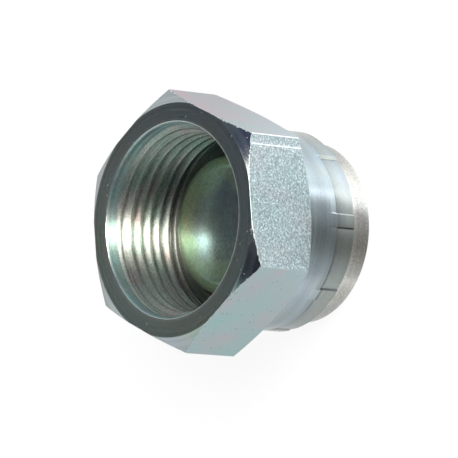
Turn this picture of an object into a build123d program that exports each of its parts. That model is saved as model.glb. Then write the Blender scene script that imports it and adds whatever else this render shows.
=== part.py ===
# Threaded protection cap: a hexagon swivel nut crimped onto a closed, cone-nosed plug.
#
# The cap stands on the plug's flat rear face with its mouth upwards. The origin is at the
# middle of that face, and +Z runs along the swivel axis, out of the threaded mouth. One
# corner of the hexagon points along +X. All sizes are in millimetres.

from build123d import *

import os
from math import cos, pi, radians, sin, tan

# ---- Hexagon of the swivel nut -----------------------------------------------------
across_flats = 36.0           # wrench size
hex_height = 12.6             # front face to the rear face of the hexagon
corner_chamfer_angle = 28.0   # slope of both corner chamfers, from the face
front_face_margin = 0.18      # how far the flat front ring runs past the wrench flats

# ---- Threaded bore, M30 x 2 ----------------------------------------------------------
thread_major_radius = 15.0    # bore at the roots of the thread
thread_depth = 1.08           # root to crest
counterbore_clearance = 0.1   # plain lead-in, beyond the roots of the thread
counterbore_depth = 2.0       # front face to the thread's lead-in cone
mouth_bevel_width = 0.15      # narrow steep bevel at the edge of the mouth
mouth_bevel_height = 0.6
relief_depth = 12.2           # front face to the end of the last turn
relief_width = 1.3            # groove behind the last turn
relief_clearance = 0.12       # groove, beyond the roots of the thread

# ---- Collar and crimped skirt ----------------------------------------------------------
skirt_bore_step = 0.18        # smooth bore of the skirt, beyond the crests of the thread
skirt_wall = 1.83             # wall of the collar and the skirt
collar_height = 7.7           # rear face of the hexagon to the crimped band
collar_root_fillet = 0.7      # blend between collar and hexagon
crimp_height = 3.75           # crimped band, from its step to the end of the skirt
jaw_count = 8                 # jaws of the crimping tool, one pressed pocket each
rib_width = 2.2               # metal left standing between two jaws
rib_direction = -95.2         # direction of one rib, in degrees from +X
jaw_edge_depth = 0.45         # depth of a pocket beside a rib
jaw_middle_depth = 0.12       # depth of a pocket at its middle
skirt_end_chamfer = 0.3       # broken rear edge of the skirt
lip_depth = 0.6               # how far the crimp pushes the skirt into the plug's groove
lip_margin = 0.35             # plain bore left between that lip and the skirt's end

# ---- Plug ----------------------------------------------------------------------------------
flange_inset = 1.63           # rear flange, inside the outline of the collar
flange_height = 4.7           # rear face of the cap to the shoulder under the skirt
flange_edge_chamfer = 0.3
nose_setback = 9.9            # front face of the nut to the flat of the nose
nose_gap = 3.2                # crests of the thread to the start of the sealing cone
nose_round = 2.3              # round between the flat of the nose and the cone
cone_half_angle = 30.0        # the sealing cone is a 60 degree cone

# ---- Clearances between nut and plug -----------------------------------------------------
running_clearance = 0.06      # radial, between the plug and the bore that it turns in
end_clearance = 0.15          # axial, between the skirt's end and the plug's shoulder

# ---- Heights along the axis -----------------------------------------------------------------
skirt_end_z = flange_height + end_clearance
crimp_step_z = skirt_end_z + crimp_height
hex_rear_z = crimp_step_z + collar_height
front_z = hex_rear_z + hex_height

# ---- Radii of the nut -----------------------------------------------------------------------
flat_radius = across_flats / 2
corner_radius = flat_radius / cos(pi / 6)
front_face_radius = flat_radius + front_face_margin
thread_minor_radius = thread_major_radius - thread_depth
counterbore_radius = thread_major_radius + counterbore_clearance
mouth_radius = counterbore_radius + mouth_bevel_width
relief_radius = thread_major_radius + relief_clearance
skirt_bore_radius = thread_minor_radius + skirt_bore_step
collar_radius = skirt_bore_radius + skirt_wall
lip_radius = skirt_bore_radius - lip_depth

# ---- Radii of the plug ------------------------------------------------------------------------
plug_radius = skirt_bore_radius - running_clearance
groove_radius = lip_radius - running_clearance
flange_radius = collar_radius - flange_inset
cone_start_radius = thread_minor_radius - nose_gap

# ---- The crimped lip and its groove: flanks at 45 degrees --------------------------------------
lip_low_z = skirt_end_z + lip_margin
lip_high_z = crimp_step_z
groove_low_z = lip_low_z - running_clearance
groove_high_z = lip_high_z + running_clearance
groove_depth = plug_radius - groove_radius

os.makedirs("parts", exist_ok=True)


# ===== Swivel nut ==============================================================================
chamfer_slope = tan(radians(corner_chamfer_angle))
barrel_radius = corner_radius + 1

# one jaw's pocket, on the +X side: its floor is a shallow arc between two straight sides
pocket_half_angle = pi / jaw_count - rib_width / 2 / collar_radius
pocket_edge_radius = collar_radius - jaw_edge_depth
pocket_reach = collar_radius + 1
with BuildSketch() as jaw_pocket:
    with BuildLine():
        pocket_floor = ThreePointArc(
            (pocket_edge_radius * cos(pocket_half_angle), -pocket_edge_radius * sin(pocket_half_angle)),
            (collar_radius - jaw_middle_depth, 0),
            (pocket_edge_radius * cos(pocket_half_angle), pocket_edge_radius * sin(pocket_half_angle)),
        )
        Polyline(
            pocket_floor @ 1,
            (pocket_reach * cos(pocket_half_angle), pocket_reach * sin(pocket_half_angle)),
            (pocket_reach * cos(pocket_half_angle), -pocket_reach * sin(pocket_half_angle)),
            pocket_floor @ 0,
        )
    make_face()

with BuildPart() as swivel_nut:
    # the hexagon bar
    with BuildSketch(Plane.XY.offset(hex_rear_z)):
        RegularPolygon(flat_radius, 6, major_radius=False)
    extrude(amount=hex_height)

    # its corners are turned off to a cone at the front and at the rear
    with BuildSketch(Plane.XZ):
        with BuildLine():
            Polyline(
                (0, hex_rear_z),
                (flat_radius, hex_rear_z),
                (barrel_radius, hex_rear_z + (barrel_radius - flat_radius) * chamfer_slope),
                (barrel_radius, front_z - (barrel_radius - front_face_radius) * chamfer_slope),
                (front_face_radius, front_z),
                (0, front_z),
                close=True,
            )
        make_face()
    revolve(axis=Axis.Z, mode=Mode.INTERSECT)

    # the round collar and the skirt, blended into the rear face of the hexagon
    with BuildSketch(Plane.XY.offset(skirt_end_z)):
        Circle(collar_radius)
    extrude(amount=hex_rear_z - skirt_end_z)
    collar_edges = (
        swivel_nut.edges()
        .filter_by(GeomType.CIRCLE)
        .filter_by(lambda edge: abs(edge.radius - collar_radius) < 1e-3)
        .sort_by(Axis.Z)
    )
    fillet(collar_edges[-1], collar_root_fillet)
    chamfer(swivel_nut.edges().filter_by(GeomType.CIRCLE).sort_by(Axis.Z)[0], skirt_end_chamfer)

    # the pockets that the jaws press into the skirt, one rib standing at rib_direction
    with BuildSketch(Plane.XY.offset(crimp_step_z)):
        with PolarLocations(0, jaw_count, start_angle=rib_direction + 180 / jaw_count):
            add(jaw_pocket.sketch)
    extrude(amount=-2 * crimp_height, mode=Mode.SUBTRACT)

    # the stepped bore: mouth, counterbore, thread, relief, running bore and crimped lip
    with BuildSketch(Plane.XZ):
        with BuildLine():
            Polyline(
                (0, front_z),
                (mouth_radius, front_z),
                (counterbore_radius, front_z - mouth_bevel_height),
                (counterbore_radius, front_z - counterbore_depth),
                (thread_minor_radius, front_z - counterbore_depth - counterbore_radius + thread_minor_radius),
                (thread_minor_radius, front_z - relief_depth),
                (relief_radius, front_z - relief_depth - (relief_radius - thread_minor_radius) / 2),
                (relief_radius, front_z - relief_depth - relief_width),
                (skirt_bore_radius, front_z - relief_depth - relief_width),
                (skirt_bore_radius, lip_high_z),
                (lip_radius, lip_high_z - lip_depth),
                (lip_radius, lip_low_z + lip_depth),
                (skirt_bore_radius, lip_low_z),
                (skirt_bore_radius, skirt_end_z),
                (0, skirt_end_z),
                close=True,
            )
        make_face()
    revolve(axis=Axis.Z, mode=Mode.SUBTRACT)

swivel_nut.part.label = "swivel_nut"
export_step(swivel_nut.part, "parts/swivel_nut.step")


# ===== Plug ======================================================================================
# the round of the nose is tangent to its flat and to the sealing cone
cone_tilt = radians(90 - cone_half_angle)
nose_z = front_z - nose_setback
nose_flat_radius = cone_start_radius - nose_round * sin(cone_tilt)
round_centre_z = nose_z - nose_round
round_middle = (
    nose_flat_radius + nose_round * sin(cone_tilt / 2),
    round_centre_z + nose_round * cos(cone_tilt / 2),
)
cone_start_z = round_centre_z + nose_round * cos(cone_tilt)
cone_end_z = cone_start_z - (plug_radius - cone_start_radius) / tan(radians(cone_half_angle))

with BuildPart() as nose_plug:
    with BuildSketch(Plane.XZ):
        with BuildLine():
            nose_flat = Line((0, nose_z), (nose_flat_radius, nose_z))
            nose_shoulder = ThreePointArc(nose_flat @ 1, round_middle, (cone_start_radius, cone_start_z))
            Polyline(
                nose_shoulder @ 1,
                (plug_radius, cone_end_z),
                (plug_radius, groove_high_z),
                (groove_radius, groove_high_z - groove_depth),
                (groove_radius, groove_low_z + groove_depth),
                (plug_radius, groove_low_z),
                (plug_radius, flange_height),
                (flange_radius, flange_height),
                (flange_radius, 0),
                (0, 0),
                nose_flat @ 0,
            )
        make_face()
    revolve(axis=Axis.Z)

    rear_edge = nose_plug.edges().filter_by(GeomType.CIRCLE).sort_by(Axis.Z)[0]
    chamfer(rear_edge, flange_edge_chamfer)

nose_plug.part.label = "nose_plug"
export_step(nose_plug.part, "parts/nose_plug.step")
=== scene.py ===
import math

import bmesh
import bpy
from mathutils import Matrix, Vector


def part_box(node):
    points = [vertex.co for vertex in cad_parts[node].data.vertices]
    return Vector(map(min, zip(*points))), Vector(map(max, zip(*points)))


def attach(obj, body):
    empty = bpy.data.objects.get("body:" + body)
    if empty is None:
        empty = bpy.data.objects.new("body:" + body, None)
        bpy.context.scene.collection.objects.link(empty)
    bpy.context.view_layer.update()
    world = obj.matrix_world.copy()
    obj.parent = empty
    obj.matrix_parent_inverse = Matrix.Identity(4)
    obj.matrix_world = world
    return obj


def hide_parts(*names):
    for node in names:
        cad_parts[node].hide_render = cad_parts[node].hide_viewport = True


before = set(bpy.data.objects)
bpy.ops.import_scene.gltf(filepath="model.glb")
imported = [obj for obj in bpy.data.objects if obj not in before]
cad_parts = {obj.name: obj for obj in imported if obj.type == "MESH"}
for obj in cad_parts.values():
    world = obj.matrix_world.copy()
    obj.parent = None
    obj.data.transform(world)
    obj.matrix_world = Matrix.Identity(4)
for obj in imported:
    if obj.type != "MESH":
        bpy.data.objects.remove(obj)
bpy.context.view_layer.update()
print("frame loaded:", sorted(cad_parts))

mm = 0.001
perMm = 1 / mm
nutLow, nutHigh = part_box("swivel_nut")
plugLow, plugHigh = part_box("nose_plug")


def addNode(tree, kind, inputs=None, **settings):
    # an input gets another node's socket or a plain value, and a plain colour is red, green and blue
    made = tree.nodes.new(kind)
    for name, value in settings.items():
        setattr(made, name, value)
    for name, value in (inputs or {}).items():
        socket = made.inputs[name]
        if isinstance(value, bpy.types.NodeSocket):
            tree.links.new(value, socket)
        else:
            socket.default_value = (*value, 1) if socket.type == "RGBA" else value
    return made


def calc(tree, operation, *values):
    # more than two values are worked through from the left
    made = addNode(tree, "ShaderNodeMath", dict(enumerate(values[:2])), operation=operation).outputs[0]
    return calc(tree, operation, made, *values[2:]) if values[2:] else made


def plus(tree, *values):
    return calc(tree, "ADD", *values)


def minus(tree, *values):
    return calc(tree, "SUBTRACT", *values)


def times(tree, *values):
    return calc(tree, "MULTIPLY", *values)


def over(tree, first, second):
    return calc(tree, "DIVIDE", first, second)


def ramp(tree, value, fromLow, fromHigh, toLow=0.0, toHigh=1.0, shape="LINEAR"):
    inputs = {"Value": value, "From Min": fromLow, "From Max": fromHigh, "To Min": toLow, "To Max": toHigh}
    return addNode(tree, "ShaderNodeMapRange", inputs, interpolation_type=shape).outputs["Result"]


def between(tree, share, low, high):
    return ramp(tree, share, 0.0, 1.0, low, high)


def fadeOut(tree, distance, width, solid):
    # 1 near by and 0 beyond the width; solid is the share of the width where it has not begun to fade
    return ramp(tree, distance, times(tree, width, solid), width, 1.0, 0.0)


def blend(tree, share, first, second, kind="MIX"):
    inputs = {"Factor": share, 6: first, 7: second}
    return addNode(tree, "ShaderNodeMix", inputs, data_type="RGBA", blend_type=kind).outputs[2]


def noise(tree, where, scale, detail, roughness=0.5):
    inputs = {"Vector": where, "Scale": scale, "Detail": detail, "Roughness": roughness}
    return addNode(tree, "ShaderNodeTexNoise", inputs).outputs[0]


def cells(tree, where, scale):
    # how far the middle of the nearest cell is, and that cell's own number from 0 to 1
    made = addNode(tree, "ShaderNodeTexVoronoi", {"Vector": where, "Scale": scale}).outputs
    return made["Distance"], addNode(tree, "ShaderNodeSeparateColor", {0: made["Color"]}).outputs[0]


def apart(tree, place):
    return addNode(tree, "ShaderNodeSeparateXYZ", {0: place}).outputs[:]


def together(tree, x, y, z=0.0):
    return addNode(tree, "ShaderNodeCombineXYZ", {0: x, 1: y, 2: z}).outputs[0]


def fromAxis(tree, x, y):
    return calc(tree, "SQRT", plus(tree, times(tree, x, x), times(tree, y, y)))


def fromNearest(tree, value):
    # how far a value is from the nearest whole number
    return minus(tree, calc(tree, "FRACT", plus(tree, value, 0.5)), 0.5)


def newGroup(name, kind, inputs, build):
    # an input is given by its first value, or by its kind of socket; build gets the first input on its own and
    # then all of them, and gives the outputs by name
    tree = bpy.data.node_groups.new(name, kind)
    for socketName, value in inputs.items():
        socketKind = value if isinstance(value, str) else "Float"
        socket = tree.interface.new_socket(socketName, in_out="INPUT", socket_type="NodeSocket" + socketKind)
        if socketKind == "Float":
            socket.default_value = value
    given = tree.nodes.new("NodeGroupInput").outputs
    outputs = build(tree, given[0], given)
    for socketName, made in outputs.items():
        socketKind = {"GEOMETRY": "Geometry", "RGBA": "Color", "VALUE": "Float"}[made.type]
        tree.interface.new_socket(socketName, in_out="OUTPUT", socket_type="NodeSocket" + socketKind)
    addNode(tree, "NodeGroupOutput", outputs)
    return tree


guardWidth = 0.04 * mm
mostRounded = 0.45  # the share of a side that one corner's rounding may take
weldDistance = 1e-7
thinnestEdge = 1e-8
creaseAngle = 28.0
levelMargin = 0.01 * mm


def roundedSection(corners):
    # a corner is (radius, height, rounding, arc steps, steps of the run that follows it, zone of that run)
    arcs = []
    for index, (radius, height, rounding, arcSteps, _, _) in enumerate(corners):
        here = Vector((radius, height))
        if not arcSteps:
            arcs.append([here])
            continue
        before = Vector(corners[index - 1][:2]) - here
        after = Vector(corners[(index + 1) % len(corners)][:2]) - here
        half = before.angle(after) / 2
        reach = min(rounding / math.tan(half), before.length * mostRounded, after.length * mostRounded)
        centre = here + (before.normalized() + after.normalized()).normalized() * reach / math.cos(half)
        start = here + before.normalized() * reach - centre
        end = (here + after.normalized() * reach - centre).normalized()
        arcRadius = start.length
        start.normalize()
        arcs.append([centre + start.slerp(end, step / arcSteps) * arcRadius for step in range(arcSteps + 1)])
    section, zones = [], []
    for index, arc in enumerate(arcs):
        arcSteps, runSteps, zone = corners[index][3:]
        following = arcs[(index + 1) % len(arcs)][0]
        steps = [step / runSteps for step in range(1, runSteps)]
        if steps:
            # a guard beside each end keeps the shading of a rounded corner off the run
            guard = min(guardWidth / max((following - arc[-1]).length, guardWidth), steps[0] / 2)
            steps = [guard] + steps + [1 - guard]
        section += arc + [arc[-1].lerp(following, step) for step in steps]
        zones += [zone] * (arcSteps + len(steps) + 1)
    return section, zones


def latheMesh(name, azimuths, sectionAt, onAxis, zoneNames):
    # one column for each azimuth; onAxis sections begin and end on the axis, others close on themselves
    # a section is its points, their zones and its climb: the first and last row that wind like a thread,
    # and how many rows on they have come after a full turn
    columns = [sectionAt(azimuth) for azimuth in azimuths]
    _, zones, climb = columns[0]
    rowCount = len(zones)
    afterTurn = list(range(rowCount))
    if climb:
        firstRow, lastRow, gain = climb
        for row in range(firstRow, lastRow + 1):
            afterTurn[row] = min(row + gain, lastRow)
    mesh = bmesh.new()
    zoneLayer = mesh.faces.layers.int.new("zone")
    grid = []
    for azimuth, column in zip(azimuths, columns):
        turned = Matrix.Rotation(azimuth, 3, "Z")
        grid.append([mesh.verts.new(turned @ Vector((radius, 0, height))) for radius, height in column[0]])
    closing = [grid[0][row] for row in afterTurn]
    for column, following in zip(grid, grid[1:] + [closing]):
        for row in range(rowCount - onAxis):
            below = (row + 1) % rowCount
            if following[row] == following[below]:
                continue
            face = mesh.faces.new((column[row], column[below], following[below], following[row]))
            face.smooth = True
            face[zoneLayer] = zoneNames.index(zones[row])
    bmesh.ops.remove_doubles(mesh, verts=mesh.verts, dist=weldDistance)
    bmesh.ops.dissolve_degenerate(mesh, edges=mesh.edges, dist=thinnestEdge)
    bmesh.ops.recalc_face_normals(mesh, faces=mesh.faces)
    made = bpy.data.meshes.new(name)
    mesh.to_mesh(made)
    mesh.free()
    return made


def sharpen(mesh, isSharp=lambda radius, height: True):
    # a crisp crease along each level edge where two faces meet steeply, if the test on its place allows it
    edges = bmesh.new()
    edges.from_mesh(mesh)
    for edge in edges.edges:
        start, end = edge.verts[0].co, edge.verts[1].co
        middle = (start + end) / 2
        steep = edge.calc_face_angle(0) > math.radians(creaseAngle)
        level = abs(start.z - end.z) < levelMargin
        edge.smooth = not (steep and level and isSharp(middle.xy.length, middle.z))
    edges.to_mesh(mesh)
    edges.free()


# lengths in metres, and angles in degrees
nut = {
    "flatRadius": nutHigh.y,
    "frontHeight": nutHigh.z,
    "rearHeight": nutLow.z,
    "hexHeight": 12.6 * mm,
    "cornerRounding": 0.25 * mm,
    "chamferAngle": 28.0,
    "faceMargin": 0.18 * mm,
    "edgeRounding": 0.12 * mm,
    "mouthRadius": 15.32 * mm,
    "counterboreRadius": 15.1 * mm,
    "counterboreDepth": 2.0 * mm,
    "mouthBevelHeight": 0.28 * mm,
    "crestRadius": 13.92 * mm,
    "reliefRadius": 15.12 * mm,
    "reliefDepth": 12.2 * mm,
    "reliefWidth": 1.3 * mm,
    "skirtBoreRadius": 14.1 * mm,
    "collarRadius": 15.93 * mm,
    "collarFillet": 0.7 * mm,
    "crimpHeight": 3.75 * mm,
    "skirtRounding": 0.35 * mm,
    "lipRadius": 13.5 * mm,
    "lipMargin": 0.35 * mm,
    "columnStep": 1.2,
    "cornerColumns": (-0.36, -0.18, 0, 0.18, 0.36),  # close columns, beside each corner of the hexagon
    "dieLineColumns": (-0.06, 0.06),  # beside each end of the slope at a die line
    "wallColumns": (-0.6, -0.4, -0.2, 0, 0.2, 0.4, 0.6),  # beside each wall of a rib
    "dieLineAzimuth": -63.95,
    "dieLineWidth": 1.0,
    "dieLineDrop": 0.115 * mm,
    "reliefMargin": 0.05 * mm,  # the thread is cut in what lies inside the relief's radius and this
    "threadMargin": 0.4 * mm,  # and above the thread's end less this
    "collarMargin": 1.0 * mm,  # the jaws leave this much of the collar alone below the hexagon
}

thread = {
    "Pitch": 2.0 * mm,
    "Root Radius": 15.0 * mm,
    "Crest Radius": nut["crestRadius"],
    "Root Flat": 0.25 * mm,
    "Crest Flat": 0.36 * mm,
    "First Root Depth": 3.0 * mm,
    "First Root Azimuth": 88.0,
}

crimp = {
    "Jaw Count": 8.0,
    "Rib Azimuth": -95.2,
    "Rib Width": 2.2 * mm,
    "Edge Depth": 0.45 * mm,
    "Middle Depth": 0.12 * mm,
    "Wall Width": 0.24 * mm,
    "Drawn Height": 1.8 * mm,
    "Drawn Share": 0.3,
    "Round Height": 0.4 * mm,
    "Round Power": 3.0,
    "Skin Depth": 1.0 * mm,  # only points this near the outside are pressed in
    "Deep Azimuth": -75.0,
    "Deep Cosine": 0.85,  # full depth where the angle to the deep azimuth has a greater cosine
    "Shallow Cosine": -0.3,  # and the shallow share of it where it has a smaller one
    "Shallow Share": 0.4,
}

nutZones = ["face", "chamfer", "flats", "collar", "crimp", "bore", "counterbore"]


def hexRadius(azimuth):
    # polar form of a hexagon with rounded corners, one corner along +X
    halfSide = math.pi / 6
    fromCorner = (azimuth + halfSide) % (2 * halfSide) - halfSide
    rounding = nut["cornerRounding"]
    centre = (nut["flatRadius"] - rounding) / math.cos(halfSide)
    tangent = math.atan2(rounding * math.sin(halfSide), centre + rounding * math.cos(halfSide))
    if abs(fromCorner) > tangent:
        return nut["flatRadius"] / math.cos(halfSide - abs(fromCorner))
    return centre * math.cos(fromCorner) + math.sqrt(rounding ** 2 - (centre * math.sin(fromCorner)) ** 2)


def dieLineDrop(azimuth):
    # the drawing die left one flat a little lower along a strip beside its corner
    width = nut["dieLineWidth"]
    fromLine = (math.degrees(azimuth) - nut["dieLineAzimuth"] + 180) % 360 - 180
    toCorner = math.ceil(nut["dieLineAzimuth"] / 60) * 60 - nut["dieLineAzimuth"]
    rise = min(max(fromLine / width + 0.5, 0), 1)
    fall = min(max((toCorner - fromLine) / width, 0), 1)
    return nut["dieLineDrop"] * min(rise, fall)


# rows of one turn, measured up from the middle of a root, with a guard beside each edge of root and crest
rootEdge = thread["Root Flat"] / 2
crestEdge = (thread["Pitch"] - thread["Crest Flat"]) / 2
flankRows = (0.37 * mm, 0.58 * mm)
flankGuard = 0.035 * mm
crestGuard = 0.04 * mm
halfTurn = [rootEdge, rootEdge + flankGuard, *flankRows, crestEdge - flankGuard, crestEdge,
            crestEdge + crestGuard]
turnRows = [-rootEdge] + halfTurn + [thread["Pitch"] - row for row in reversed(halfTurn[1:])]


def threadRows(azimuth, low, high):
    pitch = thread["Pitch"]
    root = nut["frontHeight"] - thread["First Root Depth"] - pitch * thread["First Root Azimuth"] / 360
    firstTurn = math.floor((low - root) / pitch) - 2
    lastTurn = math.ceil((high - root) / pitch) + 1
    lift = root + pitch * azimuth / math.tau
    rows = [lift + pitch * turn + offset for turn in range(firstTurn, lastTurn) for offset in turnRows]
    return [min(max(height, low), high) for height in rows]


def nutSection(azimuth):
    front, rear = nut["frontHeight"], nut["rearHeight"]
    hexRear = front - nut["hexHeight"]
    flat = hexRadius(azimuth) - dieLineDrop(azimuth)
    slope = math.tan(math.radians(nut["chamferAngle"]))
    sliver = 0.05 * mm
    faceEdge = min(nut["flatRadius"] + nut["faceMargin"], flat - sliver)
    rearEdge = min(nut["flatRadius"], flat - sliver)
    step = rear + nut["crimpHeight"]
    ledge = 0.02 * mm
    reliefTop = front - nut["reliefDepth"]
    reliefFloor = reliefTop - nut["reliefWidth"]
    reliefEntry = reliefTop - (nut["reliefRadius"] - nut["crestRadius"]) / 2
    boreRadius, lipRadius = nut["skirtBoreRadius"], nut["lipRadius"]
    lipFlank = boreRadius - lipRadius
    lipLow = rear + nut["lipMargin"]
    coneBase = front - nut["counterboreDepth"]
    coneTop = coneBase - (nut["counterboreRadius"] - nut["crestRadius"])
    edge = nut["edgeRounding"]
    section, zones = roundedSection([
        (nut["mouthRadius"], front, edge, 3, 3, "face"),
        (faceEdge, front, edge * 2, 2, 3, "chamfer"),
        (flat, front - (flat - faceEdge) * slope, edge, 2, 5, "flats"),
        (flat, hexRear + (flat - rearEdge) * slope, edge, 2, 3, "chamfer"),
        (rearEdge, hexRear, edge, 2, 3, "chamfer"),
        (nut["collarRadius"], hexRear, nut["collarFillet"], 6, 14, "collar"),
        (nut["collarRadius"], step + crimp["Round Height"], 0, 0, 8, "collar"),
        (nut["collarRadius"], step + ledge, 0, 0, 1, "collar"),
        (nut["collarRadius"], step - ledge, 0, 0, 10, "crimp"),
        (nut["collarRadius"], rear, nut["skirtRounding"], 4, 3, "crimp"),
        (boreRadius, rear, edge / 2, 1, 1, "bore"),
        (boreRadius, lipLow, 0, 0, 2, "bore"),
        (lipRadius, lipLow + lipFlank, 0, 0, 2, "bore"),
        (lipRadius, step - lipFlank, 0, 0, 2, "bore"),
        (boreRadius, step, 0, 0, 3, "bore"),
        (boreRadius, reliefFloor, edge, 2, 2, "bore"),
        (nut["reliefRadius"], reliefFloor, edge, 2, 2, "bore"),
        (nut["reliefRadius"], reliefEntry, 0, 0, 6, "bore"),
        (nut["crestRadius"], reliefTop, 0, 0, 1, "bore"),
        (nut["counterboreRadius"], coneBase, 0, 0, 3, "counterbore"),
        (nut["counterboreRadius"], front - nut["mouthBevelHeight"], edge * 2, 3, 2, "counterbore"),
    ])
    # the thread's rows come in between the relief and the counterbore
    touching = 0.001 * mm
    threadStart = 1 + max(row for row, point in enumerate(section) if abs(point[1] - reliefTop) < touching)
    wound = []
    for height in threadRows(azimuth, reliefTop, coneBase):
        radius = max(nut["crestRadius"], nut["crestRadius"] + height - coneTop)
        wound.append(Vector((radius, height)))
    section[threadStart:threadStart] = wound
    zones[threadStart:threadStart] = ["bore"] * len(wound)
    return section, zones, (threadStart, threadStart + len(wound) - 1, len(turnRows))


def nutAzimuths():
    # even columns, with close ones at the hexagon's corners and at the walls of the crimped pockets
    special = [60 * corner + offset for corner in range(6) for offset in nut["cornerColumns"]]
    special += [nut["dieLineAzimuth"] + offset + side * nut["dieLineWidth"] / 2
                for side in (-1, 1) for offset in nut["dieLineColumns"]]
    halfRib = math.degrees(crimp["Rib Width"] / 2 / nut["collarRadius"])
    jaws = int(crimp["Jaw Count"])
    for jaw in range(jaws):
        centre = crimp["Rib Azimuth"] + 360 / jaws * jaw
        special += [centre + side * halfRib + offset for side in (-1, 1) for offset in nut["wallColumns"]]
    special = [azimuth % 360 for azimuth in special]
    step = nut["columnStep"]
    even = [step * index for index in range(round(360 / step))]
    clear = [azimuth for azimuth in even
             if all(abs((azimuth - other + 180) % 360 - 180) > step / 3 for other in special)]
    return [math.radians(azimuth) for azimuth in sorted(set(special + clear))]


def polar(tree):
    # height, distance from the axis, and azimuth in turns
    x, y, z = apart(tree, addNode(tree, "GeometryNodeInputPosition").outputs[0])
    return z, fromAxis(tree, x, y), over(tree, calc(tree, "ARCTAN2", y, x), math.tau)


def moveRadius(tree, geometry, chosen, oldRadius, newRadius):
    # the chosen points keep their height and azimuth
    share = over(tree, newRadius, oldRadius)
    vectors = {0: addNode(tree, "GeometryNodeInputPosition").outputs[0], 1: together(tree, share, share, 1.0)}
    place = addNode(tree, "ShaderNodeVectorMath", vectors, operation="MULTIPLY").outputs[0]
    inputs = {"Geometry": geometry, "Selection": chosen, "Position": place}
    return addNode(tree, "GeometryNodeSetPosition", inputs).outputs[0]


def cutThread(tree, geometry, sizes):
    # right-hand turns, cut outwards into the bore wherever the wall stands inside them
    height, radius, turns = polar(tree)
    pitch = sizes["Pitch"]
    firstRoot = minus(tree, sizes["Front Height"], sizes["First Root Depth"])
    along = minus(tree, height, firstRoot)
    lead = minus(tree, turns, over(tree, sizes["First Root Azimuth"], 360.0))
    phase = minus(tree, over(tree, along, pitch), lead)
    distance = times(tree, calc(tree, "ABSOLUTE", fromNearest(tree, phase)), pitch)
    flankStart = over(tree, sizes["Root Flat"], 2.0)
    flankEnd = over(tree, minus(tree, pitch, sizes["Crest Flat"]), 2.0)
    cut = ramp(tree, distance, flankStart, flankEnd, sizes["Root Radius"], sizes["Crest Radius"])
    inBore = calc(tree, "LESS_THAN", radius, sizes["Relief Radius"])
    chosen = times(tree, inBore, calc(tree, "GREATER_THAN", height, sizes["Relief Height"]))
    return moveRadius(tree, geometry, chosen, radius, calc(tree, "MAXIMUM", radius, cut))


def pressJaws(tree, geometry, sizes):
    # each jaw leaves a pocket that is deepest beside the ribs, from its step down to the end of the skirt
    height, radius, turns = polar(tree)
    band, step = sizes["Band Radius"], sizes["Step Height"]
    fromFirst = minus(tree, turns, over(tree, sizes["Rib Azimuth"], 360.0))
    fromRib = calc(tree, "ABSOLUTE", fromNearest(tree, times(tree, fromFirst, sizes["Jaw Count"])))
    jawArc = over(tree, times(tree, band, math.tau), sizes["Jaw Count"])
    distance = times(tree, fromRib, jawArc)
    halfRib = over(tree, sizes["Rib Width"], 2.0)
    halfWall = over(tree, sizes["Wall Width"], 2.0)
    wall = ramp(tree, distance, minus(tree, halfRib, halfWall), plus(tree, halfRib, halfWall),
                shape="SMOOTHSTEP")
    toMiddle = ramp(tree, distance, halfRib, over(tree, jawArc, 2.0), 1.0, 0.0)
    extra = minus(tree, sizes["Edge Depth"], sizes["Middle Depth"])
    bowed = times(tree, toMiddle, toMiddle, extra)
    # above its step the collar is drawn in a little, and its edge is rounded over
    drawnTop = plus(tree, step, sizes["Drawn Height"])
    drawn = ramp(tree, height, step, drawnTop, sizes["Drawn Share"], 0.0, shape="SMOOTHSTEP")
    rounded = ramp(tree, height, step, plus(tree, step, sizes["Round Height"]), 1.0, 0.0)
    share = calc(tree, "MAXIMUM", drawn, calc(tree, "POWER", rounded, sizes["Round Power"]))
    # the jaws closed a little off centre, so they pressed deeper on one side of the cap
    fromDeep = minus(tree, turns, over(tree, sizes["Deep Azimuth"], 360.0))
    deepSide = calc(tree, "COSINE", times(tree, fromDeep, math.tau))
    even = ramp(tree, deepSide, sizes["Shallow Cosine"], sizes["Deep Cosine"], sizes["Shallow Share"], 1.0,
                shape="SMOOTHSTEP")
    pressed = times(tree, plus(tree, bowed, sizes["Middle Depth"]), even)
    floor = minus(tree, band, times(tree, wall, share, pressed))
    outside = calc(tree, "GREATER_THAN", radius, minus(tree, band, sizes["Skin Depth"]))
    chosen = times(tree, outside, calc(tree, "LESS_THAN", height, sizes["Hexagon Rear"]))
    return moveRadius(tree, geometry, chosen, radius, calc(tree, "MINIMUM", radius, floor))


def threadAndCrimp(tree, geometry, given):
    geometry = cutThread(tree, geometry, given)
    geometry = pressJaws(tree, geometry, given)
    geometry = addNode(tree, "GeometryNodeRealizeInstances", {0: geometry}).outputs[0]
    zone = addNode(tree, "GeometryNodeInputNamedAttribute", {"Name": "zone"}, data_type="INT")
    for number, name in enumerate(nutZones):
        pair = {"A": zone.outputs["Attribute"], "B": number}
        chosen = addNode(tree, "FunctionNodeCompare", pair, data_type="INT", operation="EQUAL")
        inputs = {"Geometry": geometry, "Selection": chosen.outputs[0], "Material": given[name + " finish"]}
        geometry = addNode(tree, "GeometryNodeSetMaterial", inputs).outputs[0]
    return {"Geometry": geometry}


plug = {
    "rearHeight": plugLow.z,
    "noseHeight": plugHigh.z,
    "flangeRadius": plugHigh.x,
    "flangeHeight": 4.7 * mm,
    "flangeChamfer": 0.3 * mm,
    "bodyRadius": 14.04 * mm,
    "grooveRadius": 13.44 * mm,
    "grooveLow": 5.14 * mm,
    "grooveHigh": 8.66 * mm,
    "coneStartRadius": 10.72 * mm,
    "coneHalfAngle": 30.0,
    "noseRounding": 2.3 * mm,
    "noseCrown": 0.8 * mm,
    "rearRounding": 0.1 * mm,
    "rimRounding": 0.2 * mm,
    "flangeRounding": 0.15 * mm,
    "coneRounding": 0.1 * mm,
    "columnStep": 1.5,
}

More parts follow.
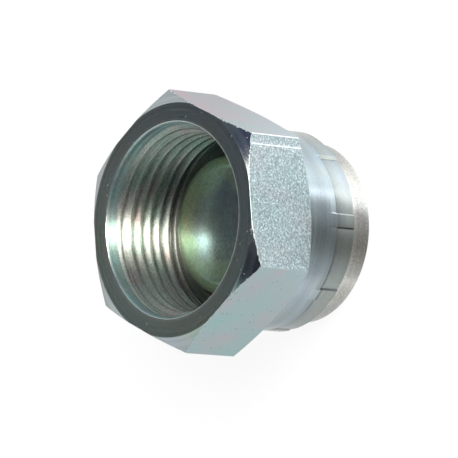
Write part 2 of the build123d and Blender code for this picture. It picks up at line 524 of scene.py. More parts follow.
plugZones = ["plugRear", "plugBand", "plugCone", "plugNose"]


def plugSection(azimuth):
    # the same all round, so the azimuth changes nothing
    rear, nose = plug["rearHeight"], plug["noseHeight"]
    body, groove = plug["bodyRadius"], plug["grooveRadius"]
    flank = body - groove
    chamfer = plug["flangeChamfer"]
    halfAngle = math.radians(plug["coneHalfAngle"])
    spread = math.tan(halfAngle)
    roundReach = plug["noseRounding"] * math.tan((math.pi / 2 - halfAngle) / 2)
    coneStart = nose - roundReach * math.cos(halfAngle)
    noseCorner = plug["coneStartRadius"] - (nose - coneStart) * spread
    coneEnd = coneStart - (body - plug["coneStartRadius"]) / spread
    section, zones = roundedSection([
        (0, rear, 0, 0, 12, "plugRear"),
        (plug["flangeRadius"] - chamfer, rear, plug["rearRounding"], 2, 2, "plugRear"),
        (plug["flangeRadius"], rear + chamfer, plug["rimRounding"], 3, 12, "plugBand"),
        (plug["flangeRadius"], plug["flangeHeight"], plug["flangeRounding"], 3, 2, "plugBand"),
        (body, plug["flangeHeight"], 0, 0, 1, "plugCone"),
        (body, plug["grooveLow"], 0, 0, 1, "plugCone"),
        (groove, plug["grooveLow"] + flank, 0, 0, 2, "plugCone"),
        (groove, plug["grooveHigh"] - flank, 0, 0, 1, "plugCone"),
        (body, plug["grooveHigh"], 0, 0, 3, "plugCone"),
        (body, coneEnd, plug["coneRounding"], 2, 12, "plugCone"),
        (noseCorner, nose, plug["noseRounding"], 12, 14, "plugNose"),
        (0, nose, 0, 0, 1, "plugNose"),
    ])
    # the end of the nose is very slightly crowned, and the crown dies out over its rounded shoulder
    shoulder = plug["coneStartRadius"]
    crowned = []
    for radius, height in section:
        outwards = min(radius / shoulder, 1)
        fall = plug["noseCrown"] * outwards ** 2 * (1 - outwards ** 6)
        crowned.append((radius, height - fall if height > coneStart else height))
    return crowned, zones, None


def turnedMarks(tree, where, given):
    # fine rings that a lathe tool leaves, on faces and on round walls alike
    swayForWander = 30.0
    x, y, z = apart(tree, where)
    scale = times(tree, given["Rings per mm"], perMm)
    sway = times(tree, given["Wander"], swayForWander)
    swayX, swayY = times(tree, x, sway), times(tree, y, sway)
    across = plus(tree, times(tree, fromAxis(tree, x, y), scale), swayX)
    along = plus(tree, times(tree, z, scale), swayY)
    place = together(tree, across, along, swayY)
    fine = noise(tree, place, scale=1.0, detail=3.0, roughness=0.6)
    broad = noise(tree, place, scale=0.22, detail=1.0)
    return {"Height": fine, "Shade": ramp(tree, broad, 0.3, 0.7)}


def frostGrain(tree, where, given):
    # the crystalline sparkle of plated, drawn steel, whose grains are mostly dull and now and then bright
    crystalHeight = 0.35
    scale = over(tree, perMm, given["Grain mm"])
    coarse = noise(tree, where, scale, detail=2.0, roughness=0.65)
    _, chance = cells(tree, where, scale)
    return {"Height": plus(tree, coarse, times(tree, chance, crystalHeight)),
            "Shade": calc(tree, "POWER", chance, given["Skew"])}


def platingTint(tree, where, given):
    # slow drift between the three tints of a thin passivation film
    drift = noise(tree, where, over(tree, perMm, given["Patch mm"]), detail=2.0)
    colour = given["Base"]
    for tint, start, full in (("Cool", 0.52, 0.7), ("Warm", 0.48, 0.3)):
        share = times(tree, ramp(tree, drift, start, full), given["Amount"])
        colour = blend(tree, share, colour, given[tint])
    return {"Color": colour}


def ribShadeAndSoil(tree, where, given):
    # painted shade and grime: darker lines in the corners beside the ribs of the crimp and under its step,
    # heaviest on one side of the cap
    shadeAndSoilScale, leastSpread = 900.0, 0.3
    footCover, stepCover, stepReach = 0.5, 0.3, 0.9
    darkestSide = {"fromLow": 0.78, "fromHigh": 0.98, "toLow": 0.12, "toHigh": 1.0}
    stepSide = {"fromLow": 0.9, "fromHigh": 0.995, "toLow": 0.8, "toHigh": 2.6}
    x, y, z = apart(tree, where)
    azimuth = calc(tree, "DEGREES", calc(tree, "ARCTAN2", y, x))
    spread = plus(tree, noise(tree, where, shadeAndSoilScale, detail=2.0), leastSpread)
    width = times(tree, given["Shade And Soil Degrees"], spread)
    turns = over(tree, minus(tree, azimuth, given["Azimuth"]), 360.0)
    ribStep = over(tree, 360.0, given["Ribs"])
    fromRib = times(tree, fromNearest(tree, times(tree, turns, given["Ribs"])), ribStep)
    halfRib = over(tree, given["Rib Degrees"], 2.0)
    wall = fadeOut(tree, calc(tree, "ABSOLUTE", plus(tree, fromRib, halfRib)), width, 0.5)
    atFoot = calc(tree, "ABSOLUTE", minus(tree, fromRib, halfRib, given["Shade And Soil Degrees"]))
    foot = ramp(tree, atFoot, 0.0, times(tree, width, 0.5), footCover, 0.0)
    underStep = calc(tree, "ABSOLUTE", minus(tree, times(tree, z, perMm), given["Step mm"]))
    step = ramp(tree, underStep, 0.0, times(tree, spread, stepReach), stepCover, 0.0, shape="SMOOTHSTEP")
    # each kind of painted shade is strongest towards an azimuth of its own, by the cosine of the angle to it
    kinds = []
    for darkening, name, side in ((calc(tree, "MAXIMUM", wall, foot), "Darkest Azimuth", darkestSide),
                             (step, "Step Shade Azimuth", stepSide)):
        angle = calc(tree, "RADIANS", minus(tree, azimuth, given[name]))
        kinds.append(times(tree, darkening, ramp(tree, calc(tree, "COSINE", angle), **side)))
    return {"Mask": calc(tree, "MAXIMUM", *kinds)}


def filmRings(tree, where, given):
    # a passivation film that runs from one tint to another outwards from the axis, a little unevenly
    unevenScale, unevenReach = 450.0, 5.0
    x, y, _ = apart(tree, where)
    uneven = noise(tree, where, unevenScale, detail=4.0)
    aside = times(tree, minus(tree, uneven, 0.5), unevenReach)
    distance = plus(tree, times(tree, fromAxis(tree, x, y), perMm), aside)
    outwards = ramp(tree, distance, given["Inner mm"], given["Outer mm"], shape="SMOOTHSTEP")
    inner = blend(tree, 1.0, given["Colour"], given["Inner tint"], "MULTIPLY")
    return {"Color": blend(tree, outwards, inner, given["Colour"])}


def everyOtherFlat(tree, where, given):
    # three of the six flats kept the rough skin of the drawn bar
    roughFlats, softEdge = 3.0, 0.03
    x, y, _ = apart(tree, where)
    turned = minus(tree, calc(tree, "ARCTAN2", y, x), calc(tree, "RADIANS", given["Azimuth"]))
    wave = calc(tree, "COSINE", times(tree, turned, roughFlats))
    return {"Mask": ramp(tree, wave, -softEdge, softEdge)}


def highlightLines(tree, where, given):
    # painted highlights: bright lines that run along the axis, at one azimuth or repeated round it, where an
    # edge or a die line would catch the light
    unevenScale, leastWidth, solid = 1200.0, 0.5, 0.4
    x, y, _ = apart(tree, where)
    azimuth = minus(tree, calc(tree, "DEGREES", calc(tree, "ARCTAN2", y, x)), given["Azimuth"])
    share = over(tree, times(tree, azimuth, given["Lines"]), 360.0)
    fromLine = calc(tree, "ABSOLUTE", fromNearest(tree, share))
    degrees = over(tree, times(tree, fromLine, 360.0), given["Lines"])
    uneven = noise(tree, where, unevenScale, detail=1.0)
    width = times(tree, given["Line Degrees"], plus(tree, uneven, leastWidth))
    return {"Mask": fadeOut(tree, degrees, width, solid)}


def burr(tree, where, given):
    # a ragged burr along the edges where the chamfered corners of a polygon meet its flats
    raggedScale, widest, solid = 2500.0, 1.5, 0.6
    x, y, _ = apart(tree, where)
    sides = times(tree, over(tree, calc(tree, "ARCTAN2", y, x), math.tau), given["Sides"])
    fromMiddle = minus(tree, calc(tree, "FRACT", sides), 0.5)
    angle = over(tree, times(tree, fromMiddle, math.tau), given["Sides"])
    reach = times(tree, fromAxis(tree, x, y), calc(tree, "COSINE", angle), perMm)
    inside = minus(tree, given["Flat mm"], reach)
    ragged = noise(tree, where, raggedScale, detail=2.0)
    width = times(tree, given["Width mm"], ramp(tree, ragged, 0.42, 0.65, 0.0, widest))
    return {"Mask": fadeOut(tree, inside, width, solid)}


def specks(tree, where, given):
    # a few small specks, scattered over a surface
    distance, chance = cells(tree, where, over(tree, perMm, given["Spacing mm"]))
    picked = calc(tree, "LESS_THAN", chance, given["Share"])
    radius = over(tree, given["Speck mm"], given["Spacing mm"])
    return {"Mask": times(tree, picked, fadeOut(tree, distance, radius, 0.5))}


effects = {}
for name, build, inputs in (
        ("burr", burr, {"Sides": 6.0, "Flat mm": 18.0, "Width mm": 0.2}),
        ("highlightLines", highlightLines, {"Azimuth": 0.0, "Lines": 1.0, "Line Degrees": 0.3}),
        ("turnedMarks", turnedMarks, {"Rings per mm": 4.0, "Wander": 1.0}),
        ("frostGrain", frostGrain, {"Grain mm": 0.2, "Skew": 1.0}),
        ("platingTint", platingTint,
         {"Patch mm": 6.0, "Base": "Color", "Cool": "Color", "Warm": "Color", "Amount": 0.5}),
        ("everyOtherFlat", everyOtherFlat, {"Azimuth": 0.0}),
        ("filmRings", filmRings,
         {"Inner mm": 4.0, "Outer mm": 8.0, "Colour": "Color", "Inner tint": "Color"}),
        ("ribShadeAndSoil", ribShadeAndSoil,
         {"Ribs": 8.0, "Azimuth": 0.0, "Rib Degrees": 8.0, "Shade And Soil Degrees": 0.6, "Step mm": 0.0,
          "Darkest Azimuth": 0.0, "Step Shade Azimuth": 0.0}),
        ("specks", specks, {"Spacing mm": 0.8, "Speck mm": 0.12, "Share": 0.2})):
    effects[name] = newGroup(name, "ShaderNodeTree", {"Coordinates": "Vector", **inputs}, build)


def placeEffect(tree, name, where, inputs):
    inputs = {"Coordinates": where, **inputs}
    return addNode(tree, "ShaderNodeGroup", inputs, node_tree=effects[name]).outputs


def aroundAxis(tree, where):
    # the direction in which a lathe tool ran over a surface
    x, y, _ = apart(tree, where)
    around = together(tree, times(tree, y, -1.0), x)
    turned = addNode(tree, "ShaderNodeVectorTransform", {0: around}, vector_type="VECTOR",
                     convert_from="OBJECT", convert_to="WORLD")
    return addNode(tree, "ShaderNodeVectorMath", {0: turned.outputs[0]}, operation="NORMALIZE").outputs[0]


markedRoughness = 0.7  # of burrs and specks
shadeDepth = 0.4  # how far a grainShade of 1 darkens and lightens single grains
streakMarks = (0.32, 0.68)  # heights of the marks between which a streaky finish turns from smooth to dull


def platedSteel(name, finish):
    material = bpy.data.materials.new(name)
    material.use_nodes = True
    tree = material.node_tree
    shader = tree.nodes["Principled BSDF"]
    shader.inputs["Metallic"].default_value = 1.0
    where = addNode(tree, "ShaderNodeTexCoord").outputs["Object"]
    marks = placeEffect(tree, "turnedMarks", where,
                        {"Rings per mm": finish["rings"], "Wander": finish["wander"]})
    grain = placeEffect(tree, "frostGrain", where,
                        {"Grain mm": finish["grainSize"], "Skew": finish["grainSkew"]})
    grainDark, grainHeight, tintAmount = grain["Shade"], grain["Height"], finish["tintAmount"]
    if "frostedAzimuth" in finish:
        flats = placeEffect(tree, "everyOtherFlat", where, {"Azimuth": finish["frostedAzimuth"]})["Mask"]
        frosted = between(tree, flats, finish["smoothShare"], 1.0)
        levels = {"Factor": frosted, 2: finish["smoothLevel"], 3: grainDark}
        grainDark = addNode(tree, "ShaderNodeMix", levels, data_type="FLOAT").outputs[0]
        grainHeight = times(tree, grainHeight, frosted)
        tintAmount = between(tree, flats, finish["tintAmount"], finish["frostedTint"])
    tint = placeEffect(tree, "platingTint", where, {
        "Patch mm": finish["patch"], "Base": finish["base"], "Cool": finish["cool"], "Warm": finish["warm"],
        "Amount": tintAmount})["Color"]
    ringShade = between(tree, marks["Shade"], 1.0 - finish["ringShade"], 1.0)
    depth = shadeDepth * finish["grainShade"]
    shade = times(tree, ringShade, between(tree, grainDark, 1.0 + depth, 1.0 - depth))
    colour = blend(tree, 1.0, tint, shade, "MULTIPLY")
    if "streaks" in finish:
        rough = ramp(tree, marks["Height"], *streakMarks, *finish["streaks"])
    else:
        rough = between(tree, marks["Shade"], *finish["roughness"])
    if "filmCentre" in finish:
        inner, outer = finish["filmReach"]
        film = {"Inner mm": inner, "Outer mm": outer, "Colour": colour, "Inner tint": finish["filmCentre"]}
        colour = placeEffect(tree, "filmRings", where, film)["Color"]
    # painted highlights: bright lines along the axis, with no grain under them
    for azimuth, lines in finish.get("highlightLines", []):
        highlightLine = placeEffect(tree, "highlightLines", where, {"Azimuth": azimuth, "Lines": lines})["Mask"]
        colour = blend(tree, highlightLine, colour, finish["highlightLineColour"])
        grainHeight = times(tree, grainHeight, minus(tree, 1.0, highlightLine))
    # painted shade and grime: the crimp is darkened beside its ribs and under its step
    if "shadeAndSoil" in finish:
        ribDegrees = math.degrees(crimp["Rib Width"] / nut["collarRadius"])
        shadeAndSoil = placeEffect(tree, "ribShadeAndSoil", where, {
            "Ribs": crimp["Jaw Count"], "Azimuth": crimp["Rib Azimuth"], "Rib Degrees": ribDegrees,
            "Step mm": (nut["rearHeight"] + nut["crimpHeight"]) / mm, "Darkest Azimuth": finish["shadeAndSoilAzimuth"],
            "Step Shade Azimuth": finish["stepShadeAzimuth"]})["Mask"]
        colour = blend(tree, times(tree, shadeAndSoil, finish["shadeAndSoil"]), colour, finish["shadeAndSoilColour"])
    if "burr" in finish:
        flat = nut["flatRadius"] / mm
        ragged = placeEffect(tree, "burr", where, {"Flat mm": flat, "Width mm": finish["burr"]})["Mask"]
        colour = blend(tree, ragged, colour, finish["burrColour"])
        rough = between(tree, ragged, rough, markedRoughness)
    if "speckShare" in finish:
        speckled = placeEffect(tree, "specks", where, {"Share": finish["speckShare"]})["Mask"]
        colour = blend(tree, speckled, colour, finish["speckColour"])
        rough = between(tree, speckled, rough, markedRoughness)
    tree.links.new(colour, shader.inputs["Base Color"])
    tree.links.new(rough, shader.inputs["Roughness"])
    under = {}
    for height, depth in ((marks["Height"], finish["ringDepth"]), (grainHeight, finish["grainDepth"])):
        if depth:
            inputs = {"Height": height, "Distance": depth * mm, "Strength": 1.0, **under}
            under = {"Normal": addNode(tree, "ShaderNodeBump", inputs).outputs[0]}
    tree.links.new(under["Normal"], shader.inputs["Normal"])
    if "brushed" in finish:
        tree.links.new(aroundAxis(tree, where), shader.inputs["Tangent"])
        shader.inputs["Anisotropic"].default_value = finish["brushed"]
        shader.inputs["Anisotropic Rotation"].default_value = 0.25  # a quarter turn, across the lathe marks
    return material


# a finish has its own values, and the plain ones for the rest; lengths are in mm and angles in degrees
plainFinish = {
    "base": (0.57, 0.63, 0.62), "cool": (0.50, 0.55, 0.63), "warm": (0.60, 0.60, 0.50), "tintAmount": 0.5,
    "patch": 7.0, "rings": 5.0, "wander": 1.0, "ringShade": 0.15, "ringDepth": 0.01,
    "grainSize": 0.2, "grainShade": 0.1, "grainDepth": 0.004, "grainSkew": 1.0, "roughness": (0.22, 0.34),
}

finishes = {
    "face": {
        "base": (0.86, 0.88, 0.86), "cool": (0.77, 0.84, 0.88), "warm": (0.92, 0.86, 0.74),
        "rings": 6.0, "ringShade": 0.12, "ringDepth": 0.0008, "roughness": (0.16, 0.22),
        "speckShare": 0.18, "speckColour": (0.3, 0.32, 0.34)},
    "chamfer": {
        "base": (0.46, 0.52, 0.54), "grainShade": 0.06, "ringDepth": 0.002,
        "roughness": (0.12, 0.2), "burr": 0.15, "burrColour": (0.7, 0.76, 0.8), "speckShare": 0.3,
        "speckColour": (0.33, 0.35, 0.42)},
    "flats": {
        "base": (0.55, 0.68, 0.71), "cool": (0.49, 0.71, 0.71), "warm": (0.64, 0.64, 0.68),
        "patch": 6.0, "tintAmount": 1.0, "frostedTint": 0.35, "speckShare": 0.25,
        "speckColour": (0.14, 0.15, 0.13), "rings": 0.4, "ringShade": 0.0, "ringDepth": 0.0,
        "grainSize": 0.17, "grainShade": 1.3, "grainDepth": 0.016, "grainSkew": 0.45,
        "roughness": (0.28, 0.36), "frostedAzimuth": -90.0, "smoothShare": 0.06, "smoothLevel": 0.57,
        # painted highlights: bright lines along the die line and along every other corner of the hexagon
        "highlightLineColour": (0.85, 0.92, 0.93), "highlightLines": [(nut["dieLineAzimuth"], 1.0), (-60.0, 3.0)]},
    "collar": {
        "base": (0.495, 0.595, 0.635), "rings": 2.6, "ringShade": 0.14, "ringDepth": 0.014,
        "streaks": (0.04, 0.26)},
    "crimp": {
        "base": (0.53, 0.59, 0.57), "rings": 2.6, "ringShade": 0.14, "ringDepth": 0.014,
        # painted shade and grime beside the ribs and under the step, darkest towards two azimuths
        "grainDepth": 0.008, "streaks": (0.05, 0.26), "shadeAndSoil": 0.9, "shadeAndSoilAzimuth": -100.0,
        "stepShadeAzimuth": -133.0, "shadeAndSoilColour": (0.09, 0.08, 0.07)},
    "bore": {
        "base": (0.47, 0.53, 0.50), "cool": (0.38, 0.52, 0.48), "warm": (0.55, 0.49, 0.47),
        "tintAmount": 0.8, "patch": 4.0, "rings": 9.0, "wander": 8.0, "ringShade": 0.4, "ringDepth": 0.02,
        "grainSize": 0.16, "grainShade": 0.6, "grainDepth": 0.003, "roughness": (0.36, 0.44),
        "brushed": 0.88},
    "counterbore": {
        "base": (0.50, 0.70, 0.72), "cool": (0.42, 0.68, 0.74), "warm": (0.60, 0.60, 0.68),
        "tintAmount": 0.9, "patch": 5.0, "wander": 4.0, "ringShade": 0.4, "ringDepth": 0.02,
        "grainSize": 0.18, "grainShade": 0.4, "roughness": (0.38, 0.46), "brushed": 0.9},
    "plugRear": {"base": (0.62, 0.60, 0.52)},
    "plugBand": {
        "base": (0.82, 0.82, 0.77), "warm": (0.76, 0.72, 0.60), "grainShade": 0.4,
        "grainDepth": 0.006, "ringDepth": 0.0, "roughness": (0.18, 0.26)},
    # the plug's body, groove and cone sit deep inside the nut, and their dark base is painted shade in the gap
    # between nut and plug
    "plugCone": {
        "base": (0.25, 0.28, 0.26), "cool": (0.22, 0.25, 0.27), "warm": (0.27, 0.27, 0.22)},
    "plugNose": {
        "base": (0.78, 0.93, 0.69), "cool": (0.54, 0.88, 0.76), "warm": (0.95, 0.94, 0.58),
        "patch": 3.5, "tintAmount": 0.35, "ringShade": 0.0, "ringDepth": 0.0, "grainSize": 0.25,
        "grainShade": 0.45, "grainDepth": 0.001, "roughness": (0.22, 0.23),
        "filmCentre": (0.84, 0.77, 1.0), "filmReach": (5.4, 7.8)},
}

steel = {name: platedSteel("zinc" + name[0].upper() + name[1:], {**plainFinish, **finish})
         for name, finish in finishes.items()}
print("finishes made:", len(steel))


def shown(name, data):
    piece = bpy.data.objects.new(name, data)
    bpy.context.scene.collection.objects.link(piece)
    return piece


def setInputs(modifier, values):
    for item in modifier.node_group.interface.items_tree:
        if item.item_type == "SOCKET" and item.in_out == "INPUT" and item.name in values:
            modifier[item.identifier] = values[item.name]


def reportPiece(piece):
    piece.data.calc_loop_triangles()
    print("piece made:", piece.name, len(piece.data.loop_triangles), "triangles")


def makeNut():
    blank = shown("nutBlank", latheMesh("nutBlank", nutAzimuths(), nutSection, False, nutZones))
    blank.data.materials.append(steel[nutZones[0]])
    threadEnd = nut["frontHeight"] - nut["reliefDepth"]
    sizes = {**thread, **crimp, "Front Height": nut["frontHeight"],
             "Relief Radius": nut["reliefRadius"] + nut["reliefMargin"],
             "Relief Height": threadEnd - nut["threadMargin"],
             "Step Height": nut["rearHeight"] + nut["crimpHeight"], "Band Radius": nut["collarRadius"],
             "Hexagon Rear": nut["frontHeight"] - nut["hexHeight"] - nut["collarMargin"]}
    modifier = blank.modifiers.new("threadAndCrimp", "NODES")
    inputs = {"Geometry": "Geometry", **sizes, **{zone + " finish": "Material" for zone in nutZones}}
    modifier.node_group = newGroup("threadAndCrimp", "GeometryNodeTree", inputs, threadAndCrimp)
    setInputs(modifier, {**sizes, **{zone + " finish": steel[zone] for zone in nutZones}})
    graph = bpy.context.evaluated_depsgraph_get()
    mesh = bpy.data.meshes.new_from_object(blank.evaluated_get(graph))
    bpy.data.objects.remove(blank)
    mesh.name = "swivelNut"
    sharpen(mesh, lambda radius, height: radius > nut["reliefRadius"] + levelMargin or height < threadEnd)
    piece = shown("swivelNut", mesh)
    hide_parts("swivel_nut")
    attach(piece, "nut")
    reportPiece(piece)


def makePlug():
    step = plug["columnStep"]
    azimuths = [math.radians(step * index) for index in range(round(360 / step))]
    mesh = latheMesh("nosePlug", azimuths, plugSection, True, plugZones)
    sharpen(mesh)
    for name in plugZones:
        mesh.materials.append(steel[name])
    for face, zone in zip(mesh.polygons, mesh.attributes["zone"].data):
        face.material_index = zone.value
    piece = shown("nosePlug", mesh)
    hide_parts("nose_plug")
    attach(piece, "plug")
    reportPiece(piece)


makeNut()
makePlug()


def emptyTree(owner):
    owner.use_nodes = True
    owner.node_tree.nodes.clear()
    return owner.node_tree


def plainSheet(name, width, depth, place):
    sides = ((1, 1), (-1, 1), (-1, -1), (1, -1))
    corners = [Vector(place) + Vector((x * width / 2, y * depth / 2, 0)) for x, y in sides]
    mesh = bpy.data.meshes.new(name)
    mesh.from_pydata(corners, [], [(0, 1, 2, 3)])
    sheet = shown(name, mesh)
    return sheet


def sheetMaterial(sheet):
    material = bpy.data.materials.new(sheet.name)
    sheet.data.materials.append(material)
    return emptyTree(material)


def onlyReflected(sheet):
    for kind in ("camera", "diffuse", "shadow", "transmission", "volume_scatter"):
        setattr(sheet, "visible_" + kind, False)


def seesBackdrop(tree):
    # 1 for rays from the camera and from metal, which meet the plain white backdrop
    rays = addNode(tree, "ShaderNodeLightPath").outputs
    return calc(tree, "MAXIMUM", rays["Is Camera Ray"], rays["Is Glossy Ray"], rays["Is Transmission Ray"])


# the glowing table lies on the floor, and both lie just under the cap
studio = {
    "backdrop": 1.0,
    "ambient": 0.6,
    "floorColour": (0.92, 0.92, 0.92),
    "floorGlow": 0.9,
    "floorSize": 4.0,
    "floorHeight": -0.02 * mm,
    "tableSize": 1.0,
    "tableHeight": -0.01 * mm,
    "tableCentre": (-4.1 * mm, -7.4 * mm),
    "cardHeight": 0.3,
    "lampPlace": (0.06, -0.35, 0.45),
    "lampAim": (0, 0, 0.015),
    "lampSize": 0.3,
    "lampPower": 4.0,
}


def makeFloor():
    size = studio["floorSize"]
    floor = plainSheet("paleFloor", size, size, (0, 0, studio["floorHeight"]))
    tree = sheetMaterial(floor)
    matt = addNode(tree, "ShaderNodeBsdfDiffuse", {"Color": studio["floorColour"]})
    glow = addNode(tree, "ShaderNodeEmission", {"Strength": studio["backdrop"]})
    share = times(tree, seesBackdrop(tree), studio["floorGlow"])
    both = addNode(tree, "ShaderNodeMixShader", {0: share, 1: matt.outputs[0], 2: glow.outputs[0]})
    addNode(tree, "ShaderNodeOutputMaterial", {"Surface": both.outputs[0]})


def makeWorld():
    world = bpy.data.worlds.new("studio")
    bpy.context.scene.world = world
    tree = emptyTree(world)
    seen = addNode(tree, "ShaderNodeBackground", {"Strength": studio["backdrop"]})
    ambient = addNode(tree, "ShaderNodeBackground", {"Strength": studio["ambient"]})
    share = seesBackdrop(tree)
    both = addNode(tree, "ShaderNodeMixShader", {0: share, 1: ambient.outputs[0], 2: seen.outputs[0]})
    addNode(tree, "ShaderNodeOutputWorld", {"Surface": both.outputs[0]})


# cards over the cap: (x from, x to, y from, y to), colour and strength. A second colour takes over from one
# place to another
cards = {
    "faceCard": {"reach": (-0.05, 0.2, 0.16, 0.45), "colour": (0.036, 0.045, 0.058), "strength": 1.0,
                 "second": (0.086, 0.109, 0.096), "from": (0.085, 0.275), "to": (0.045, 0.315)},
    "sideCard": {"reach": (0.2, 0.36, 0.16, 0.45), "colour": (0.13, 0.15, 0.165), "strength": 1.0},
    "slateCard": {"reach": (-0.05, 0.36, 0.02, 0.16), "colour": (0.13, 0.15, 0.165), "strength": 1.0},
    "navyCard": {"reach": (0.14, 0.36, -0.12, 0.02), "colour": (0.5, 0.6, 1.0), "strength": 0.16},
    "blackCard": {"reach": (-0.45, 0.0, -0.45, 0.02), "colour": (0.6, 0.7, 1.0), "strength": 0.05},
    "greenCard": {"reach": (-0.45, -0.05, 0.02, 0.3), "colour": (0.8, 1.0, 0.9), "strength": 0.75},
    "greyCard": {"reach": (0.14, 0.36, -0.45, -0.12), "colour": (1.0, 1.0, 1.0), "strength": 0.3},
    "middleCard": {"reach": (0.0, 0.09, -0.05, 0.02), "colour": (0.8, 0.9, 1.0), "strength": 0.15},
    "stripLight": {"reach": (0.022, 0.08, -0.45, -0.05), "colour": (1.1, 0.98, 0.88), "strength": 24.0},
    "stripEdge": {"reach": (0.005, 0.022, -0.45, -0.05), "colour": (1.0, 1.0, 0.97), "strength": 2.0},
    "stripFar": {"reach": (0.08, 0.14, -0.45, -0.05), "colour": (1.1, 0.98, 0.86), "strength": 4.8},
}


def makeCard(name, card):
    xLow, xHigh, yLow, yHigh = card["reach"]
    centre = ((xLow + xHigh) / 2, (yLow + yHigh) / 2, studio["cardHeight"])
    sheet = plainSheet(name, xHigh - xLow, yHigh - yLow, centre)
    onlyReflected(sheet)
    tree = sheetMaterial(sheet)
    colour = card["colour"]
    if "second" in card:
        start, end = Vector(card["from"]), Vector(card["to"])
        along = (end - start) / (end - start).length_squared
        where = addNode(tree, "ShaderNodeTexCoord").outputs["Object"]
        run = addNode(tree, "ShaderNodeVectorMath", {0: where, 1: (*along, 0)}, operation="DOT_PRODUCT")
        share = ramp(tree, run.outputs["Value"], start.dot(along), end.dot(along), shape="SMOOTHSTEP")
        colour = blend(tree, share, colour, card["second"])
    glow = addNode(tree, "ShaderNodeEmission", {"Color": colour, "Strength": card["strength"]})
    addNode(tree, "ShaderNodeOutputMaterial", {"Surface": glow.outputs[0]})


# what the table throws back into the metal, in rings round the cap: seen by the plug's flange, by the crimp,
# by the collar and by the flats. A glow at an azimuth in degrees is one number, or three where it is tinted
tableRings = [
    {"edge": (0.0, 1.0 * mm), "glow": {
        -180: 0.56, -166: 0.62, -158: 0.74, -152: 0.77, -146: 0.58, -136: 0.45, -124: 0.355, -112: 0.27,
        -100: 0.23, -88: 0.25, -76: 0.31, -66: 0.4, -61: 0.5, -57: 0.75, -53: 1.15, -49: 1.45, -37: 1.5,
        -28: 1.3, -21: 1.08, -12: 0.85, 0: 0.72, 90: 0.7, 150: 0.56, 180: 0.56}},
    {"edge": (17.5 * mm, 19.5 * mm), "glow": {
        -180: 0.57, -169: (0.59, 0.59, 0.54), -158: (0.6, 0.6, 0.54), -147: (0.52, 0.54, 0.46),
        -136: 0.44, -126: 0.37, -116: 0.28, -104: 0.22, -92: 0.25, -84: 0.36, -76: 0.58, -68: 0.8,
        -64: 1.05, -60: 1.5, -56: 1.75, -50: 1.78, -44: 1.65, -38: (1.62, 1.65, 1.72),
        -32: (1.5, 1.55, 1.65), -26: (1.33, 1.38, 1.5), -20: (1.15, 1.21, 1.33), -12: (0.98, 1.02, 1.1),
        0: 0.88, 90: 0.86, 128: 0.62, 156: 0.56, 180: 0.57}},
    {"edge": (22.8 * mm, 24.4 * mm), "glow": {
        -180: 0.7, -168: 0.8, -160: 0.84, -152: 0.74, -144: 0.56, -136: 0.47, -128: 0.4, -116: 0.27,
        -104: 0.21, -92: 0.215, -84: 0.3, -76: 0.41, -68: 0.5, -63: 0.66, -59: 1.0, -56: 1.5, -52: 1.85,
        -48: 1.4, -44: 1.3, -38: 1.36, -32: 1.28, -24: 1.16, -16: 1.0, -8: 0.93, 0: 0.88,
        10: (0.86, 0.76, 0.8), 30: (0.82, 0.7, 0.73), 90: 0.84, 128: 0.6, 144: 0.58, 160: 0.64, 180: 0.7}},
    {"edge": (33.0 * mm, 35.5 * mm), "glow": {
        -180: 0.7, -155: 0.72, -130: 1.05, -80: 1.05, -58: 1.0, -52: 1.4, -45: 1.9, -30: 2.0, -12: 1.9,
        0: 1.0, 15: (0.78, 0.65, 0.665), 60: (0.7, 0.66, 0.66), 90: 0.62, 136: 0.62,
        170: (0.64, 0.7, 0.68), 180: 0.7}},
]
brightest = 2.0  # a colour ramp's colours stop at 1, so it holds each glow as a share of this


def glowByAzimuth(tree, turns, stops):
    made = addNode(tree, "ShaderNodeValToRGB", {0: turns})
    held = made.color_ramp.elements
    for azimuth, glow in stops.items():
        place = azimuth / 360 + 0.5
        stop = held[0] if place == 0 else held[-1] if place == 1 else held.new(place)
        colour = glow if isinstance(glow, tuple) else (glow, glow, glow)
        stop.color = (*[share / brightest for share in colour], 1)
    return made.outputs["Color"]


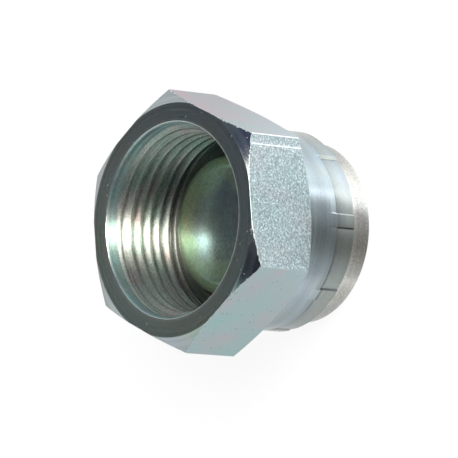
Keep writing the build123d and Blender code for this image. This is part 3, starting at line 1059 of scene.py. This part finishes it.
def makeTable():
    table = plainSheet("tableGlow", studio["tableSize"], studio["tableSize"], (0, 0, studio["tableHeight"]))
    onlyReflected(table)
    tree = sheetMaterial(table)
    where = addNode(tree, "ShaderNodeTexCoord").outputs["Object"]
    fromX, fromY = [minus(tree, *pair) for pair in zip(apart(tree, where), studio["tableCentre"])]
    turns = plus(tree, over(tree, calc(tree, "ARCTAN2", fromY, fromX), math.tau), 0.5)
    distance = addNode(tree, "ShaderNodeVectorMath", {0: where}, operation="LENGTH").outputs["Value"]
    colour = glowByAzimuth(tree, turns, tableRings[0]["glow"])
    for ring in tableRings[1:]:
        outside = ramp(tree, distance, *ring["edge"], shape="SMOOTHSTEP")
        colour = blend(tree, outside, colour, glowByAzimuth(tree, turns, ring["glow"]))
    glow = addNode(tree, "ShaderNodeEmission", {"Color": colour, "Strength": brightest})
    addNode(tree, "ShaderNodeOutputMaterial", {"Surface": glow.outputs[0]})


def makeLamp():
    lamp = bpy.data.lights.new("keyLamp", "AREA")
    lamp.shape = "DISK"
    lamp.size = studio["lampSize"]
    lamp.energy = studio["lampPower"]
    made = shown("keyLamp", lamp)
    place = Vector(studio["lampPlace"])
    made.location = place
    made.rotation_euler = (place - Vector(studio["lampAim"])).to_track_quat("Z", "Y").to_euler()
    made.visible_glossy = False


camera = {
    "azimuth": -103.684,
    "elevation": 42.380,
    "roll": 84.621,
    "distance": 750.6 * mm,
    "aim": (-0.54 * mm, 0.13 * mm, 16.73 * mm),
    "lens": 378.7,
}


def makeCamera():
    azimuth, elevation = math.radians(camera["azimuth"]), math.radians(camera["elevation"])
    back = Vector((math.cos(azimuth) * math.cos(elevation), math.sin(azimuth) * math.cos(elevation),
                   math.sin(elevation)))
    upright = (Vector((0, 0, 1)) - back * back.z).normalized()
    side = upright.cross(back)
    roll = math.radians(camera["roll"])
    up = upright * math.cos(roll) + side * math.sin(roll)
    right = up.cross(back)
    data = bpy.data.cameras.new("camera")
    data.lens = camera["lens"]
    made = shown("camera", data)
    place = Vector(camera["aim"]) + back * camera["distance"]
    made.matrix_world = Matrix.Translation(place) @ Matrix((right, up, back)).transposed().to_4x4()
    bpy.context.scene.camera = made


makeFloor()
makeWorld()
makeTable()
for name, card in cards.items():
    makeCard(name, card)
makeLamp()
makeCamera()
bpy.context.scene.view_settings.view_transform = "Standard"
print("studio made:", len(cards), "cards")
